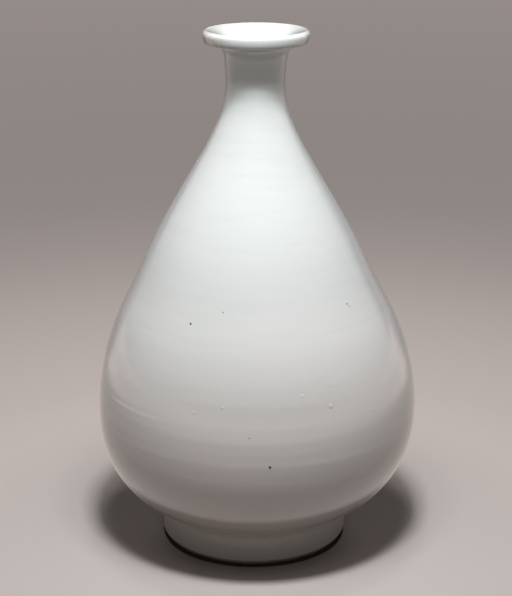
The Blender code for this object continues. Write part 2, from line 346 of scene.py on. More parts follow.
def smooth_step(tree, value, low, high):
    """0 below low, 1 above high, with a smooth change between."""
    node = add(tree, "ShaderNodeMapRange", interpolation_type="SMOOTHSTEP")
    for socket, given in zip(node.inputs, (value, low, high, 0.0, 1.0)):
        feed(tree, socket, given)
    return node.outputs[0]


def inverse(tree, value):
    """1 where the value is 0, and 0 where it is 1."""
    return maths(tree, "SUBTRACT", 1.0, value)


def signed(tree, value):
    """A value from 0 to 1, spread from -1 to 1."""
    return maths(tree, "MULTIPLY_ADD", value, 2.0, -1.0)


def bell(tree, value, centre, width):
    """1 at the centre, falling to 0 about two widths away."""
    off = maths(tree, "DIVIDE", maths(tree, "SUBTRACT", value, centre), width)
    return maths(tree, "EXPONENT", times(tree, off, off, -1.0))


def parts_of(tree, vector):
    """The outputs X, Y and Z of a vector."""
    return add(tree, "ShaderNodeSeparateXYZ", {0: vector}).outputs


def combine(tree, x, y, z):
    """A vector made of its three parts."""
    node = tree.nodes.new("ShaderNodeCombineXYZ")
    for socket, value in zip(node.inputs, (x, y, z)):
        feed(tree, socket, value)
    return node.outputs[0]


def flattened(tree, vector):
    """A vector without its Z."""
    node = add(tree, "ShaderNodeVectorMath", {0: vector, 1: (1.0, 1.0, 0.0)}, operation="MULTIPLY")
    return node.outputs[0]


def distance(tree, place, centre):
    """How far a place is from a centre."""
    node = add(tree, "ShaderNodeVectorMath", {0: place, 1: centre}, operation="DISTANCE")
    return node.outputs["Value"]


def noise(tree, vector, scale, detail=2.0):
    """Smooth noise from 0 to 1."""
    node = add(tree, "ShaderNodeTexNoise", {"Vector": vector, "Scale": scale, "Detail": detail})
    return node.outputs["Fac"]


def mix_colour(tree, amount, first, second):
    """The first colour at an amount of 0, and the second at 1."""
    return add(tree, "ShaderNodeMix", {0: amount, 6: first, 7: second}, data_type="RGBA").outputs[2]


def new_group(kind, name, inputs, outputs):
    """A node group with named sockets, as (name, socket type, default)."""
    tree = bpy.data.node_groups.new(name, kind)
    for label, socket_type, default in inputs:
        socket = tree.interface.new_socket(label, in_out="INPUT", socket_type=socket_type)
        if default is not None:
            socket.default_value = default
    for label, socket_type in outputs:
        tree.interface.new_socket(label, in_out="OUTPUT", socket_type=socket_type)
    return tree, tree.nodes.new("NodeGroupInput").outputs, tree.nodes.new("NodeGroupOutput").inputs


# Outlines of the solids


def meridian(node):
    """The outline of a turned solid in the half plane y = 0, x >= 0, with the solid on its left."""
    shape = bmesh.new()
    shape.from_mesh(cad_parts[node].data)
    bmesh.ops.remove_doubles(shape, verts=shape.verts[:], dist=SAME_PLACE)
    kept = {v for v in shape.verts if abs(v.co.y) < IN_PLANE and v.co.x > -IN_PLANE}
    ways = {v: [e.other_vert(v) for e in v.link_edges if e.other_vert(v) in kept] for v in kept}
    ends = [v for v in kept if len(ways[v]) == 1]
    start = min(ends or kept, key=lambda v: (v.co.z, -v.co.x))
    walk = [start]
    while True:
        onward = [v for v in ways[walk[-1]] if v not in walk]
        if not onward:
            break
        walk.append(max(onward, key=lambda v: v.co.x))
    points = [(max(v.co.x, 0.0), v.co.z) for v in walk]
    shape.free()
    if ends:
        points = [(0.0, points[0][1]), *points, (0.0, points[-1][1])]
        points = points[1 if points[1][0] < ON_AXIS else 0 : -1 if points[-2][0] < ON_AXIS else None]
    else:
        points.append(points[0])
    points = np.array(points)
    (x, z), (next_x, next_z) = points[:-1].T, points[1:].T
    return points if np.sum(x * next_z - next_x * z) > 0 else points[::-1]


def eased(points):
    """Adds points on a step that is far longer than the next one, so that a spline keeps it straight."""
    lengths = np.linalg.norm(np.diff(points, axis=0), axis=1)
    made = [points[:1]]
    for i, length in enumerate(lengths):
        beside = min(lengths[max(i - 1, 0) : i + 2])
        count = max(1, round(length / beside)) if length > LONG_STEP * beside else 1
        share = np.arange(1, count + 1)[:, None] / count
        made.append(points[i] + share * (points[i + 1] - points[i]))
    return np.concatenate(made)


def corners_of(points, sharp):
    """Indices where the outline turns sharply, with its two ends."""
    steps = np.diff(points, axis=0)
    heads = np.arctan2(steps[:, 1], steps[:, 0])
    turns = np.abs((np.diff(heads) + math.pi) % (2 * math.pi) - math.pi)
    return [0, *(np.flatnonzero(turns > sharp) + 1), len(points) - 1]


def spline(points, step):
    """Points at about this spacing on a natural cubic spline through the given ones."""
    lengths = np.linalg.norm(np.diff(points, axis=0), axis=1)
    along = np.concatenate(([0.0], np.cumsum(lengths)))
    count = len(points)
    system = np.zeros((count, count))
    right = np.zeros((count, 2))
    system[0, 0] = system[-1, -1] = 1.0
    for i in range(1, count - 1):
        system[i, i - 1 : i + 2] = lengths[i - 1], 2 * (lengths[i - 1] + lengths[i]), lengths[i]
        slopes = np.diff(points[i - 1 : i + 2], axis=0) / lengths[i - 1 : i + 1, None]
        right[i] = 6 * (slopes[1] - slopes[0])
    bend = np.linalg.solve(system, right)
    at = np.linspace(0.0, along[-1], max(2, math.ceil(along[-1] / step) + 1))
    i = np.clip(np.searchsorted(along, at, side="right") - 1, 0, count - 2)
    width = lengths[i][:, None]
    before = (along[i + 1] - at)[:, None]
    after = (at - along[i])[:, None]
    return (
        (bend[i] * before**3 + bend[i + 1] * after**3) / (6 * width)
        + (points[i] / width - bend[i] * width / 6) * before
        + (points[i + 1] / width - bend[i + 1] * width / 6) * after
    )


def fine_outline(node, shown, sharp):
    """The node's outline, smoothed between its corners. shown numbers the stretches that can be seen."""
    points = meridian(node)
    corners = corners_of(points, sharp)
    count = len(corners) - 1
    stretches = []
    for number, (first, last) in enumerate(zip(corners, corners[1:])):
        step = SHOWN_STEP if number in shown or number - count in shown else HIDDEN_STEP
        stretches.append(spline(eased(points[first : last + 1]), step)[(1 if stretches else 0) :])
    return np.concatenate(stretches)


def eased_step(values, low, high):
    """0 below low, 1 above high, with a smooth change between."""
    share = np.clip((values - low) / (high - low), 0.0, 1.0)
    return share * share * (3.0 - 2.0 * share)


def retouched(outline, gap):
    """Carries the foot's wall up to a crisper corner, spreads the lip, and widens its crest by a gap."""
    made = [outline[:1]]
    for start, end in zip(outline, outline[1:]):
        close = abs(start[0] - FOOT_RADIUS) < CORNER_REACH and min(start[1], end[1]) < CORNER_END[1]
        count = max(1, math.ceil(np.linalg.norm(end - start) / CORNER_STEP)) if close else 1
        share = np.arange(1, count + 1)[:, None] / count
        made.append(start + share * (end - start))
    radius, height = np.concatenate(made).T
    radius = radius + gap * eased_step(height, *RIM_ZONE)
    near = np.exp(-(((radius - FOOT_RADIUS) / CORNER_WIDTH) ** 2))
    lift = eased_step(height, *CORNER_START) * (1.0 - eased_step(height, *CORNER_END))
    edge, width = LIP_EDGE
    droop = LIP_DROOP * np.exp(-(((height - edge) / width) ** 2))
    lip = eased_step(height, *LIP_ZONE)
    spread = LIP_SPREAD * lip + CREST_SPREAD * eased_step(height, *CREST_ZONE)
    raised = height + CORNER_LIFT * near * lift - LIP_SINK * lip - droop
    points = np.column_stack((radius * (1.0 + spread), raised))
    low, high = CORNER_ZONE
    corner = ((radius > FOOT_RADIUS - COAT_GAP) & (height > low) & (height < high))[1:-1]
    for _ in range(CORNER_PASSES):
        mean = (points[:-2] + 2.0 * points[1:-1] + points[2:]) / 4.0
        points[1:-1][corner] = mean[corner]
    return points


def lean_at(heights):
    """Sideways offset of the turned sections at these heights."""
    smooth = spline(np.array(LEAN), LEAN_STEP)
    return np.interp(heights, smooth[:, 0], smooth[:, 1])


# Trees of geometry nodes


def sampled(tree, source, value, kind, index):
    """A value of the outline at a row."""
    inputs = {"Geometry": source, "Value": value, "Index": index}
    node = add(tree, "GeometryNodeSampleIndex", inputs, data_type=kind, domain="POINT")
    return node.outputs[0]


def wheel_tree():
    """Turns an outline, with radius in X and height in Z, about the Z axis.

    All unevenness depends on angle and height only, so nested pieces keep their spacing.
    """
    floats = [
        ("Ring Depth", RING_DEPTH),
        ("Ring Spacing", RING_SPACING),
        ("Oval", OVAL),
        ("Lip Height", LIP_HEIGHT),
        ("Lip Wave", LIP_WAVE),
        ("Edge Height", WIPED_EDGE),
        ("Edge Wander", 0.0),
    ]
    for name, height, depth, width, side, fade in TOOL_MARKS:
        values = (height, depth, width, math.radians(side), fade)
        floats += [(f"{name} {label}", value) for label, value in zip(MARK_INPUTS, values)]
    tree, given, result = new_group(
        "GeometryNodeTree",
        "turn_on_wheel",
        (
            ("Outline", "NodeSocketGeometry", None),
            ("Segments", "NodeSocketInt", SEGMENTS),
            *((name, "NodeSocketFloat", value) for name, value in floats),
            ("Material", "NodeSocketMaterial", None),
        ),
        (("Geometry", "NodeSocketGeometry"),),
    )
    outline = given["Outline"]
    size = add(tree, "GeometryNodeAttributeDomainSize", {"Geometry": outline}, component="MESH")
    rows = size.outputs["Point Count"]
    columns = maths(tree, "ADD", given["Segments"], 1.0)
    grid = add(tree, "GeometryNodeMeshGrid", {"Vertices X": columns, "Vertices Y": rows})
    index = add(tree, "GeometryNodeInputIndex").outputs[0]
    row = maths(tree, "MODULO", index, rows)
    column = maths(tree, "FLOOR", maths(tree, "DIVIDE", index, rows))
    angle = times(tree, maths(tree, "DIVIDE", column, given["Segments"]), 2 * math.pi)
    position = add(tree, "GeometryNodeInputPosition").outputs[0]
    lean = add(tree, "GeometryNodeInputNamedAttribute", {"Name": "lean"}, data_type="FLOAT")
    place = parts_of(tree, sampled(tree, outline, position, "FLOAT_VECTOR", row))
    radius, height = place["X"], place["Z"]
    sideways = sampled(tree, outline, lean.outputs["Attribute"], "FLOAT", row)
    east = maths(tree, "COSINE", angle)
    north = maths(tree, "SINE", angle)

    def around(level, scale, detail=2.0):
        """Noise around the pot."""
        return noise(tree, combine(tree, east, north, level), scale, detail)

    # Throwing rings drift a little around the pot
    level = maths(tree, "DIVIDE", height, given["Ring Spacing"])
    drift = [times(tree, way, RING_DRIFT) for way in (east, north)]
    rings = signed(tree, noise(tree, combine(tree, *drift, level), 1.0))
    rings = times(tree, rings, given["Ring Depth"])

    # Each mark shows on one side, and is stronger at some angles than at others
    mark_level, mark_scale = MARK_NOISE
    for number, (name, *_) in enumerate(TOOL_MARKS):
        centre, depth, width, side, fade = (given[f"{name} {label}"] for label in MARK_INPUTS)
        turned_to = maths(tree, "COSINE", maths(tree, "SUBTRACT", angle, side))
        shown = smooth_step(tree, turned_to, fade, 1.0)
        mark = times(tree, bell(tree, height, centre, width), shown)
        fickle = smooth_step(tree, around(mark_level + number, mark_scale), *MARK_RANGE)
        fickle = maths(tree, "MULTIPLY_ADD", fickle, 1.0 - MARK_LEAST, MARK_LEAST)
        rings = maths(tree, "MULTIPLY_ADD", times(tree, mark, fickle), depth, rings)
    oval = maths(tree, "COSINE", maths(tree, "MULTIPLY_ADD", angle, 2.0, OVAL_TURN))
    oval = times(tree, oval, given["Oval"], radius)
    swell = times(tree, rings, smooth_step(tree, radius, *RING_ZONE))
    reach = maths(tree, "ADD", maths(tree, "ADD", radius, swell), oval)

    # The lip waves up and down, and the wiped edge of the glaze wanders
    wave_low = maths(tree, "SUBTRACT", given["Lip Height"], LIP_WAVE_DEPTH)
    near_lip = smooth_step(tree, height, wave_low, given["Lip Height"])
    wave = maths(tree, "ADD", signed(tree, around(*WAVE_NOISE)), LIP_WAVE_SET)
    wave = times(tree, wave, near_lip, given["Lip Wave"])
    edge_top = maths(tree, "ADD", given["Edge Height"], EDGE_DEPTH)
    near_edge = inverse(tree, smooth_step(tree, height, given["Edge Height"], edge_top))
    wander = signed(tree, around(*WANDER_NOISE, detail=3.0))
    wander = times(tree, wander, near_edge, given["Edge Wander"])
    lift = maths(tree, "ADD", maths(tree, "ADD", height, wave), wander)

    across = maths(tree, "MULTIPLY_ADD", east, reach, sideways)
    turned = combine(tree, across, times(tree, north, reach), lift)
    inputs = {"Geometry": grid.outputs["Mesh"], "Name": "UVMap", "Value": grid.outputs["UV Map"]}
    mapped = add(tree, "GeometryNodeStoreNamedAttribute", inputs, data_type="FLOAT2", domain="CORNER")
    moved = add(tree, "GeometryNodeSetPosition", {"Geometry": mapped.outputs[0], "Position": turned})
    closed = add(tree, "GeometryNodeMergeByDistance", {"Geometry": moved.outputs[0], "Distance": CLOSED})
    soft = add(tree, "GeometryNodeSetShadeSmooth", {"Geometry": closed.outputs[0]}, domain="FACE")
    bend = add(tree, "GeometryNodeInputMeshEdgeAngle").outputs["Unsigned Angle"]
    sharp = maths(tree, "GREATER_THAN", bend, CORNER_TURN)
    inputs = {"Geometry": soft.outputs[0], "Selection": sharp, "Shade Smooth": False}
    edges = add(tree, "GeometryNodeSetShadeSmooth", inputs, domain="EDGE")
    real = add(tree, "GeometryNodeRealizeInstances", {"Geometry": edges.outputs[0]})
    inputs = {"Geometry": real.outputs[0], "Material": given["Material"]}
    finish = add(tree, "GeometryNodeSetMaterial", inputs)
    feed(tree, result[0], finish.outputs[0])
    return tree


def scatter_inputs(smallest, largest, density):
    """Named inputs that both scattering trees share."""
    return (
        ("Marks", "NodeSocketGeometry", None),
        ("Surface", "NodeSocketObject", None),
        ("Density", "NodeSocketFloat", density),
        ("Seed", "NodeSocketInt", GRAIN_SEED),
        ("Smallest", "NodeSocketFloat", smallest),
        ("Largest", "NodeSocketFloat", largest),
        ("Flatness", "NodeSocketFloat", GRAIN_FLATNESS),
        ("Material", "NodeSocketMaterial", None),
    )


def grains(tree, given, points, facing, radius, subdivisions=2):
    """Flattened grains on points, turned to face the way given."""
    turn = add(tree, "FunctionNodeAlignRotationToVector", {"Vector": facing}, axis="Z")
    grain = add(tree, "GeometryNodeMeshIcoSphere", {"Radius": 1.0, "Subdivisions": subdivisions})
    flat = combine(tree, radius, radius, times(tree, radius, given["Flatness"]))
    inputs = {"Points": points, "Instance": grain.outputs["Mesh"]}
    inputs |= {"Rotation": turn.outputs[0], "Scale": flat}
    return add(tree, "GeometryNodeInstanceOnPoints", inputs).outputs[0]


def scattered(tree, given, geometry, selection):
    """Points on the selected faces, their way of facing, and a radius that is mostly small."""
    inputs = {name: given[name] for name in ("Density", "Seed")}
    inputs |= {"Mesh": geometry, "Selection": selection}
    spread = add(tree, "GeometryNodeDistributePointsOnFaces", inputs, distribute_method="RANDOM")
    chance = add(tree, "FunctionNodeRandomValue", {"Seed": given["Seed"]}, data_type="FLOAT")
    share = maths(tree, "POWER", chance.outputs[1], MOSTLY_SMALL)
    reach = maths(tree, "SUBTRACT", given["Largest"], given["Smallest"])
    radius = maths(tree, "MULTIPLY_ADD", share, reach, given["Smallest"])
    return spread.outputs["Points"], spread.outputs["Normal"], radius


def end_scatter(tree, result, given, parts):
    """Joins the scattered grains, makes them real and gives them their material."""
    together = add(tree, "GeometryNodeJoinGeometry")
    for part in parts:
        feed(tree, together.inputs[0], part)
    real = add(tree, "GeometryNodeRealizeInstances", {"Geometry": together.outputs[0]})
    soft = add(tree, "GeometryNodeSetShadeSmooth", {"Geometry": real.outputs[0]})
    inputs = {"Geometry": soft.outputs[0], "Material": given["Material"]}
    finish = add(tree, "GeometryNodeSetMaterial", inputs)
    feed(tree, result[0], finish.outputs[0])


def speck_tree():
    """Specks at marked places, which are seen along +Y, and more strewn over sides and back."""
    tree, given, result = new_group(
        "GeometryNodeTree",
        "iron_specks",
        scatter_inputs(*STREWN_SPECKS),
        (("Geometry", "NodeSocketGeometry"),),
    )
    skin = add(tree, "GeometryNodeObjectInfo", {"Object": given["Surface"]}).outputs["Geometry"]
    inputs = {"Target Geometry": skin, "Ray Direction": LOOK_WAY, "Ray Length": LOOK_LENGTH}
    hit = add(tree, "GeometryNodeRaycast", inputs, data_type="FLOAT_VECTOR")
    inputs = {"Geometry": given["Marks"], "Name": "facing", "Value": hit.outputs["Hit Normal"]}
    kept = add(tree, "GeometryNodeStoreNamedAttribute", inputs, data_type="FLOAT_VECTOR", domain="POINT")
    inputs = {"Geometry": kept.outputs[0], "Position": hit.outputs["Hit Position"]}
    landed = add(tree, "GeometryNodeSetPosition", inputs)
    facing = add(tree, "GeometryNodeInputNamedAttribute", {"Name": "facing"}, data_type="FLOAT_VECTOR")
    size = add(tree, "GeometryNodeInputNamedAttribute", {"Name": "size"}, data_type="FLOAT")
    marked = grains(tree, given, landed.outputs[0], facing.outputs[0], size.outputs[0])

    position = add(tree, "GeometryNodeInputPosition").outputs[0]
    inputs = {0: flattened(tree, position), 1: add(tree, "GeometryNodeInputNormal").outputs[0]}
    outward = add(tree, "ShaderNodeVectorMath", inputs, operation="DOT_PRODUCT")
    outside = maths(tree, "GREATER_THAN", outward.outputs["Value"], OUTWARD)
    behind = maths(tree, "GREATER_THAN", parts_of(tree, position)["Y"], STREWN_FROM)
    points, way, radius = scattered(tree, given, skin, times(tree, outside, behind))
    strewn = grains(tree, given, points, way, radius)
    end_scatter(tree, result, given, (marked, strewn))
    return tree


def grit_tree():
    """Grains of kiln sand on the bare strip above the standing face of the foot."""
    tree, given, result = new_group(
        "GeometryNodeTree",
        "kiln_grit",
        (*scatter_inputs(*STREWN_GRIT), ("Strip", "NodeSocketFloat", WIPED_EDGE)),
        (("Geometry", "NodeSocketGeometry"),),
    )
    foot = add(tree, "GeometryNodeObjectInfo", {"Object": given["Surface"]}).outputs["Geometry"]
    slope = parts_of(tree, add(tree, "GeometryNodeInputNormal").outputs[0])["Z"]
    upright = maths(tree, "COMPARE", slope, 0.0, UPRIGHT)
    points, way, radius = scattered(tree, given, foot, upright)
    height = parts_of(tree, add(tree, "GeometryNodeInputPosition").outputs[0])["Z"]
    low = maths(tree, "LESS_THAN", height, given["Largest"])
    high = maths(tree, "GREATER_THAN", height, given["Strip"])
    off = maths(tree, "MAXIMUM", low, high)
    points = add(tree, "GeometryNodeDeleteGeometry", {"Geometry": points, "Selection": off}).outputs[0]
    end_scatter(tree, result, given, (grains(tree, given, points, way, radius, subdivisions=1),))
    return tree


def grow(name, vertices, tree, inputs, attributes):
    """Runs a tree on bare vertices and keeps the result as a plain mesh."""
    mesh = bpy.data.meshes.new(name)
    mesh.from_pydata([tuple(v) for v in vertices], [], [])
    for label, values in attributes.items():
        mesh.attributes.new(label, "FLOAT", "POINT").data.foreach_set("value", values)
    piece = bpy.data.objects.new(name, mesh)
    bpy.context.scene.collection.objects.link(piece)
    modifier = piece.modifiers.new(tree.name, "NODES")
    modifier.node_group = tree
    sockets = {item.name: item.identifier for item in tree.interface.items_tree if item.in_out == "INPUT"}
    for label, value in inputs.items():
        modifier[sockets[label]] = value
    graph = bpy.context.evaluated_depsgraph_get()
    shape = piece.evaluated_get(graph)
    made = bpy.data.meshes.new_from_object(shape, preserve_all_data_layers=True, depsgraph=graph)
    piece.modifiers.remove(modifier)
    piece.data = made
    bpy.data.meshes.remove(mesh)
    made.name = name
    return piece


# Shader groups


def object_place(tree):
    """Object coordinates and their parts."""
    place = add(tree, "ShaderNodeTexCoord").outputs["Object"]
    return place, parts_of(tree, place)


def glaze_group():
    """Colour, roughness and gloss of the glaze, by height and noise."""
    tree, given, result = new_group(
        "ShaderNodeTree",
        "porcelain_glaze",
        (
            ("Clear", "NodeSocketColor", GLAZE_CLEAR),
            ("Warm Bounce", "NodeSocketColor", GLAZE_WARM_BOUNCE),
            ("Pooled", "NodeSocketColor", GLAZE_POOLED),
            ("Thin", "NodeSocketColor", GLAZE_THIN),
            ("Stain", "NodeSocketColor", GLAZE_STAIN),
            ("Worn Shade", "NodeSocketColor", GLAZE_WORN_SHADE),
            ("Painted Light", "NodeSocketColor", GLAZE_PAINTED_LIGHT),
            ("Stain Amount", "NodeSocketFloat", 1.0),
            ("Smoothest", "NodeSocketFloat", 0.08),
            ("Dullest", "NodeSocketFloat", 0.20),
        ),
        (("Colour", "NodeSocketColor"), ("Roughness", "NodeSocketFloat"), ("Coat", "NodeSocketFloat")),
    )
    place, part = object_place(tree)
    height = part["Z"]
    leftward = times(tree, part["X"], -1.0)

    # Pools break up, and clouds and streaks are added to them
    pool = 0.0
    for centre, width, strength in POOLS:
        pool = maths(tree, "MULTIPLY_ADD", bell(tree, height, centre, width), strength, pool)
    pool = times(tree, pool, maths(tree, "ADD", noise(tree, place, POOL_SCALE), POOL_LEAST))
    clouds = smooth_step(tree, noise(tree, place, CLOUD_SCALE, detail=1.0), *CLOUD_RANGE)
    pool = maths(tree, "MULTIPLY_ADD", clouds, CLOUD_POOL, pool)
    stretched = add(tree, "ShaderNodeVectorMath", {0: place, 1: STREAK_SCALE}, operation="MULTIPLY")
    streaks = smooth_step(tree, noise(tree, stretched.outputs[0], 1.0, detail=3.0), *STREAK_RANGE)
    pool = maths(tree, "MINIMUM", maths(tree, "MULTIPLY_ADD", streaks, STREAK_POOL, pool), 1.0)
    # Painted light: low on the body the glaze is warmed, as by light bounced from the floor
    colour = mix_colour(tree, smooth_step(tree, height, *WARM_BOUNCE_ZONE), given["Warm Bounce"], given["Clear"])
    colour = mix_colour(tree, pool, colour, given["Pooled"])

    # The wall of the foot, darker low down as painted shade, and the bands of painted light and shade above
    # it
    wall = inverse(tree, smooth_step(tree, height, *WORN_SHADE_ZONE))
    shade_toward_floor = inverse(tree, smooth_step(tree, height, 0.0, FOOT_TOP))
    worn_and_shade = times(tree, wall, maths(tree, "MULTIPLY_ADD", shade_toward_floor, 1.0 - WORN_SHADE_LEAST, WORN_SHADE_LEAST))
    colour = mix_colour(tree, worn_and_shade, colour, given["Worn Shade"])
    for tone, centre, width, strength in PAINTED_BANDS:
        painted_band = times(tree, bell(tree, height, centre, width), strength)
        colour = mix_colour(tree, painted_band, colour, given[tone])

    # The crest of the lip, and the stain, mostly on the lower side of its roll
    crest = smooth_step(tree, height, *THIN_ZONE)
    colour = mix_colour(tree, times(tree, crest, THIN_SHARE), colour, given["Thin"])
    roll = bell(tree, height, *STAIN_BAND)
    patches = smooth_step(tree, noise(tree, place, STAIN_SCALE, detail=3.0), *STAIN_RANGE)
    patches = maths(tree, "MULTIPLY_ADD", patches, *STAIN_PATCHES)
    side = times(tree, smooth_step(tree, leftward, *STAIN_SIDE), patches)
    tip = times(tree, smooth_step(tree, leftward, *STAIN_TIP), STAIN_TIP_SHARE)
    stain = times(tree, maths(tree, "MAXIMUM", side, tip), roll, given["Stain Amount"])
    colour = mix_colour(tree, stain, colour, given["Stain"])
    feed(tree, result["Colour"], colour)

    spread = maths(tree, "SUBTRACT", given["Dullest"], given["Smoothest"])
    uneven = noise(tree, place, GLOSS_SCALE, detail=3.0)
    rough = maths(tree, "MULTIPLY_ADD", uneven, spread, given["Smoothest"])
    rough = maths(tree, "MULTIPLY_ADD", stain, STAIN_ROUGH, rough)
    rough = maths(tree, "MULTIPLY_ADD", worn_and_shade, WORN_ROUGH, rough)
    feed(tree, result["Roughness"], rough)
    feed(tree, result["Coat"], maths(tree, "MULTIPLY_ADD", worn_and_shade, -WORN_DULL, 1.0))
    return tree


def grain_group():
    """Two-toned clay with dark dots and painted shade near the floor, and a normal from its grain."""
    tree, given, result = new_group(
        "ShaderNodeTree",
        "fired_clay",
        (
            ("Light", "NodeSocketColor", CLAY_LIGHT),
            ("Flash", "NodeSocketColor", CLAY_FLASH),
            ("Grain", "NodeSocketColor", CLAY_GRAIN),
            ("Flash Amount", "NodeSocketFloat", 0.0),
            ("Painted Shade", "NodeSocketColor", CLAY_PAINTED_SHADE),
            ("Soot Amount", "NodeSocketFloat", 0.0),
            ("Scale", "NodeSocketFloat", 900.0),
            ("Depth", "NodeSocketFloat", 0.00008),
        ),
        (("Colour", "NodeSocketColor"), ("Normal", "NodeSocketVector")),
    )
    place, part = object_place(tree)
    toast = smooth_step(tree, noise(tree, place, TOAST_SCALE, detail=3.0), *TOAST_RANGE)
    toast = times(tree, toast, given["Flash Amount"])
    colour = mix_colour(tree, toast, given["Light"], given["Flash"])
    dots = smooth_step(tree, noise(tree, place, DOT_SCALE, detail=1.0), *DOT_RANGE)
    colour = mix_colour(tree, times(tree, dots, DOT_SHARE), colour, given["Grain"])
    # Painted shade on the bare strip between floor and glaze, darkest next to the floor
    painted_shade = 0.0
    for start, end, strength in (PAINTED_SHADE_RIM, PAINTED_SHADE_STRIP):
        below = inverse(tree, smooth_step(tree, part["Z"], start, end))
        painted_shade = maths(tree, "MULTIPLY_ADD", below, strength, painted_shade)
    painted_shade = times(tree, painted_shade, smooth_step(tree, part["Z"], *PAINTED_SHADE_START))
    colour = mix_colour(tree, times(tree, painted_shade, given["Soot Amount"]), colour, given["Painted Shade"])
    feed(tree, result["Colour"], colour)
    fine = noise(tree, place, given["Scale"], detail=3.0)
    bump = add(tree, "ShaderNodeBump", {"Height": fine, "Distance": given["Depth"], "Strength": 1.0})
    feed(tree, result["Normal"], bump.outputs[0])
    return tree


def ripple_group():
    """A normal with the slight orange peel of a glaze."""
    tree, given, result = new_group(
        "ShaderNodeTree",
        "glaze_skin",
        (("Scale", "NodeSocketFloat", 260.0), ("Depth", "NodeSocketFloat", 0.00006)),
        (("Normal", "NodeSocketVector"),),
    )
    skin = noise(tree, object_place(tree)[0], given["Scale"])
    bump = add(tree, "ShaderNodeBump", {"Height": skin, "Distance": given["Depth"], "Strength": 1.0})
    feed(tree, result["Normal"], bump.outputs[0])
    return tree


def new_material(name, colour, roughness):
    """A Principled material whose plain values are set on its sockets."""
    made = bpy.data.materials.new(name)
    made.use_nodes = True
    made.diffuse_color = colour
    shader = made.node_tree.nodes["Principled BSDF"]
    shader.inputs["Base Color"].default_value = colour
    shader.inputs["Roughness"].default_value = roughness
    return made, made.node_tree, shader


def use_group(tree, group, **values):
    """The outputs of a shader group with these inputs, a space written as an underscore."""
    node = add(tree, "ShaderNodeGroup", node_tree=group)
    for name, value in values.items():
        node.inputs[name.replace("_", " ")].default_value = value
    return node.outputs


def glaze_material(name, glaze, skin, **values):
    """A glossy coat with the colour of the glaze and its skin."""
    made, tree, shader = new_material(name, GLAZE_CLEAR, roughness=0.2)
    coat = use_group(tree, glaze, **values)
    feed(tree, shader.inputs["Base Color"], coat["Colour"])
    feed(tree, shader.inputs["Roughness"], coat["Roughness"])
    feed(tree, shader.inputs["Normal"], use_group(tree, skin)["Normal"])
    feed(tree, shader.inputs["Coat Weight"], coat["Coat"])
    shader.inputs["Coat Roughness"].default_value = COAT_ROUGHNESS
    return made


def clay_material(name, clay, roughness, **values):
    """Matt fired clay."""
    made, tree, shader = new_material(name, CLAY_LIGHT, roughness)
    body = use_group(tree, clay, **values)
    feed(tree, shader.inputs["Base Color"], body["Colour"])
    feed(tree, shader.inputs["Normal"], body["Normal"])
    return made


def iron_material():
    """Dark brown iron that bled a little into the glaze."""
    made, tree, shader = new_material("iron_speck", IRON_DARK, roughness=0.3)
    mottled = noise(tree, object_place(tree)[0], IRON_SCALE)
    feed(tree, shader.inputs["Base Color"], mix_colour(tree, mottled, IRON_DARK, IRON_PALE))
    return made


# Stage


def even_tone(tree, away, part, path):
    """The floor's own light by distance, which the neck mirrors brighter beside the bottle."""
    ramp = add(tree, "ShaderNodeValToRGB", {"Fac": maths(tree, "DIVIDE", away, FLOOR_REACH)})
    ramp.color_ramp.interpolation = "B_SPLINE"
    stops = ramp.color_ramp.elements
    stops.remove(stops[0])
    for number, (reach, level) in enumerate(FLOOR_LEVELS):
        stop = stops[0] if number == 0 else stops.new(reach / FLOOR_REACH)
        stop.position = reach / FLOOR_REACH
        stop.color = (*(level * tint for tint in FLOOR_TINT), 1.0)
    beside = inverse(tree, smooth_step(tree, maths(tree, "DIVIDE", part["Y"], away), *BACK_EDGE))
    beside = times(tree, beside, smooth_step(tree, away, *BESIDE_ZONE), path["Is Glossy Ray"])
    brighter = maths(tree, "MULTIPLY_ADD", beside, FLOOR_MIRRORED - 1.0, 1.0)
    return add(tree, "ShaderNodeEmission", {"Color": ramp.outputs["Color"], "Strength": brighter})


def contact_shade(tree, place, part, away):
    """1 in the painted shadow line where the foot meets the floor, and less in the softer painted shade in
    front.
    """
    from_foot = distance(tree, place, (LEAN[0][1], 0.0, 0.0))
    ahead = maths(tree, "DIVIDE", times(tree, part["Y"], -1.0), away)
    ahead = smooth_step(tree, ahead, *CONTACT_AHEAD)
    width = maths(tree, "MULTIPLY_ADD", ahead, *CONTACT_WIDTH)
    black = maths(tree, "MULTIPLY_ADD", width, CONTACT_BLACK, FOOT_RADIUS)
    line = inverse(tree, smooth_step(tree, from_foot, black, maths(tree, "ADD", width, FOOT_RADIUS)))
    reach, strength = CONTACT_FADE
    fade = inverse(tree, smooth_step(tree, from_foot, FOOT_RADIUS, FOOT_RADIUS + reach))
    fade = times(tree, fade, strength, ahead)
    return maths(tree, "MAXIMUM", line, fade)


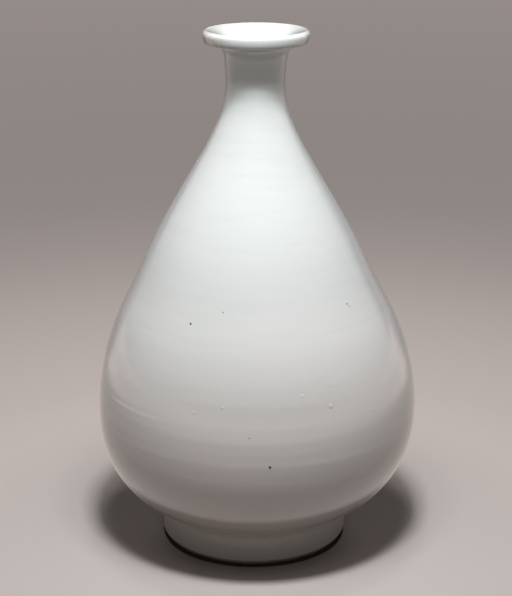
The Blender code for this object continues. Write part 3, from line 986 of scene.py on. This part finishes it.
def floor_material():
    """Pale grey paper. Beyond the shadow it keeps an even tone where it is seen or mirrored."""
    made, tree, shader = new_material("stage_paper", FLOOR_NEAR, roughness=0.9)
    place, part = object_place(tree)
    away = add(tree, "ShaderNodeVectorMath", {0: place}, operation="LENGTH").outputs["Value"]
    path = add(tree, "ShaderNodeLightPath").outputs
    seen = maths(tree, "MAXIMUM", path["Is Camera Ray"], path["Is Glossy Ray"])
    tone = mix_colour(tree, seen, FLOOR_BOUNCE, FLOOR_NEAR)
    # Painted shadow where the foot meets the floor
    contact_shadow = times(tree, contact_shade(tree, place, part, away), path["Is Camera Ray"])
    feed(tree, shader.inputs["Base Color"], mix_colour(tree, contact_shadow, tone, FLOOR_CONTACT_SHADOW))
    nearer = maths(tree, "MULTIPLY_ADD", path["Is Glossy Ray"], MIRRORED_NEARER, 1.0)
    from_shadow = times(tree, distance(tree, place, SHADOW_CENTRE), nearer)
    even = times(tree, smooth_step(tree, from_shadow, *SHADOW_ZONE), seen)
    mixed = add(tree, "ShaderNodeMixShader")
    looks = (even, shader.outputs[0], even_tone(tree, away, part, path).outputs[0])
    for socket, look in zip(mixed.inputs, looks):
        feed(tree, socket, look)
    feed(tree, tree.nodes["Material Output"].inputs["Surface"], mixed.outputs[0])
    return made


def studio_world():
    """Walls around the bottle. The glaze mirrors a dark back, lighter sides and a front between them."""
    world = bpy.data.worlds.new("studio")
    world.use_nodes = True
    tree = world.node_tree
    way = add(tree, "ShaderNodeTexCoord").outputs["Generated"]
    level = add(tree, "ShaderNodeVectorMath", {0: flattened(tree, way)}, operation="NORMALIZE")
    flat = parts_of(tree, level.outputs[0])
    behind = maths(tree, "MULTIPLY_ADD", flat["X"], BACK_SKEW, flat["Y"])
    front = smooth_step(tree, times(tree, flat["Y"], -1.0), *FRONT_EDGE)
    above = smooth_step(tree, parts_of(tree, way)["Z"], *WALL_TOP)
    light = maths(tree, "MULTIPLY_ADD", above, CEILING_LIGHT - WALL_LIGHT, WALL_LIGHT)
    back = smooth_step(tree, behind, *BACK_EDGE)
    mirrored = maths(tree, "MULTIPLY_ADD", front, FRONT_MIRRORED - SIDES_MIRRORED, SIDES_MIRRORED)
    mirrored = maths(tree, "MULTIPLY_ADD", back, BACK_MIRRORED - SIDES_MIRRORED, mirrored)
    path = add(tree, "ShaderNodeLightPath").outputs
    seen = maths(tree, "MAXIMUM", path["Is Camera Ray"], path["Is Glossy Ray"])
    more = times(tree, seen, maths(tree, "SUBTRACT", mirrored, light))
    strength = maths(tree, "ADD", light, more)

    # Beyond the floor's edge the camera sees its furthest tone
    far = maths(tree, "SUBTRACT", FLOOR_LEVELS[-1][1], strength)
    far = times(tree, path["Is Camera Ray"], far)
    shade = tree.nodes["Background"].inputs
    colour = mix_colour(tree, path["Is Camera Ray"], (*WALL_COLOUR, 1.0), (*FLOOR_TINT, 1.0))
    feed(tree, shade["Color"], colour)
    feed(tree, shade["Strength"], maths(tree, "ADD", strength, far))
    return world


def softbox(name, place, size, watts):
    """A lamp with a rectangular face, turned to the bottle."""
    data = bpy.data.lights.new(name, "AREA")
    data.shape = "RECTANGLE"
    data.size, data.size_y = size
    data.energy = watts
    data.color = BOX_COLOUR
    lamp = bpy.data.objects.new(name, data)
    lamp.location = place
    lamp.rotation_euler = (BOX_AIM - Vector(place)).to_track_quat("-Z", "Y").to_euler()
    bpy.context.scene.collection.objects.link(lamp)


def build_stage():
    """Floor, light and camera."""
    scene = bpy.context.scene
    scene.view_settings.view_transform = "Standard"
    mesh = bpy.data.meshes.new("floor")
    corners = ((-1, -1), (1, -1), (1, 1), (-1, 1))
    mesh.from_pydata([(x * FLOOR_HALF, y * FLOOR_HALF, 0.0) for x, y in corners], [], [(0, 1, 2, 3)])
    mesh.materials.append(floor_material())
    floor = bpy.data.objects.new("floor", mesh)
    scene.collection.objects.link(floor)

    scene.world = studio_world()
    for box in SOFTBOXES:
        softbox(*box)

    data = bpy.data.cameras.new("camera")
    data.sensor_width = SENSOR
    data.lens = FOCAL_PIXELS * SENSOR / IMAGE_HEIGHT
    camera = bpy.data.objects.new("camera", data)
    back = Vector((0.0, -math.cos(CAMERA_ELEVATION), math.sin(CAMERA_ELEVATION)))
    camera.location = CAMERA_AIM + back * CAMERA_DISTANCE
    camera.rotation_euler = (math.pi / 2 - CAMERA_ELEVATION, 0.0, 0.0)
    scene.collection.objects.link(camera)
    scene.camera = camera


# The bottle


def turn(wheel, node, material, shown=(), sharp=CORNER_TURN, gap=0.0, **inputs):
    """The fine piece that stands for a turned solid."""
    outline = retouched(fine_outline(node, shown, sharp), gap)
    vertices = np.column_stack((outline[:, 0], np.zeros(len(outline)), outline[:, 1]))
    inputs["Material"] = material
    named = {label.replace("_", " "): value for label, value in inputs.items()}
    piece = grow(node + "_turned", vertices, wheel, named, {"lean": lean_at(outline[:, 1])})
    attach(piece, "root")
    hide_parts(node)
    return piece


def build_bottle():
    """All turned pieces with their looks, and the small flaws on them."""
    wheel = wheel_tree()
    glaze = glaze_group()
    clay = grain_group()
    skin = ripple_group()

    outside = glaze_material("outer_glaze_look", glaze, skin)
    inside = glaze_material("inner_glaze_look", glaze, skin, Stain_Amount=0.3)
    under = glaze_material("base_glaze_look", glaze, skin, Stain_Amount=0.0, Dullest=0.36)
    bare = clay_material("bare_foot_look", clay, roughness=0.85, Flash_Amount=0.75, Soot_Amount=0.92)
    body = clay_material("clay_look", clay, roughness=0.9)
    slip = clay_material("slip_look", clay, roughness=0.9, Flash_Amount=0.25, Scale=1500.0)

    coat = turn(wheel, "outer_glaze", outside, shown=(0,), Edge_Wander=EDGE_WANDER)
    turn(wheel, "inner_glaze", inside, shown=(-1,), gap=COAT_GAP)
    turn(wheel, "base_glaze", under, shown=(0, 1), sharp=TRIMMED_TURN)
    foot = turn(wheel, "foot_ring", bare, shown=(0, 1, 2, 3, 4, 5), sharp=TRIMMED_TURN)
    for node in ("lower_body", "upper_body", "neck_collar"):
        turn(wheel, node, body)
    for node in ("foot_slip_joint", "belly_slip_joint", "neck_slip_joint"):
        turn(wheel, node, slip, sharp=TRIMMED_TURN)

    flaws = speck_tree()
    for name, places, look, more in (
        ("iron_specks", SPECKS, iron_material(), {}),
        ("glaze_pimples", PIMPLES, outside, PIMPLE_INPUTS),
    ):
        marks = [(x, LOOK_FROM, z) for x, z, radius in places]
        given = {"Surface": coat, "Material": look, **more}
        piece = grow(name, marks, flaws, given, {"size": [radius for x, z, radius in places]})
        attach(piece, "root")
    grit_look = clay_material("grit_look", clay, roughness=0.8, Flash_Amount=1.0)
    given = {"Surface": foot, "Material": grit_look}
    grit = grow("kiln_grit", [], grit_tree(), given, {})
    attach(grit, "root")


build_bottle()
build_stage()
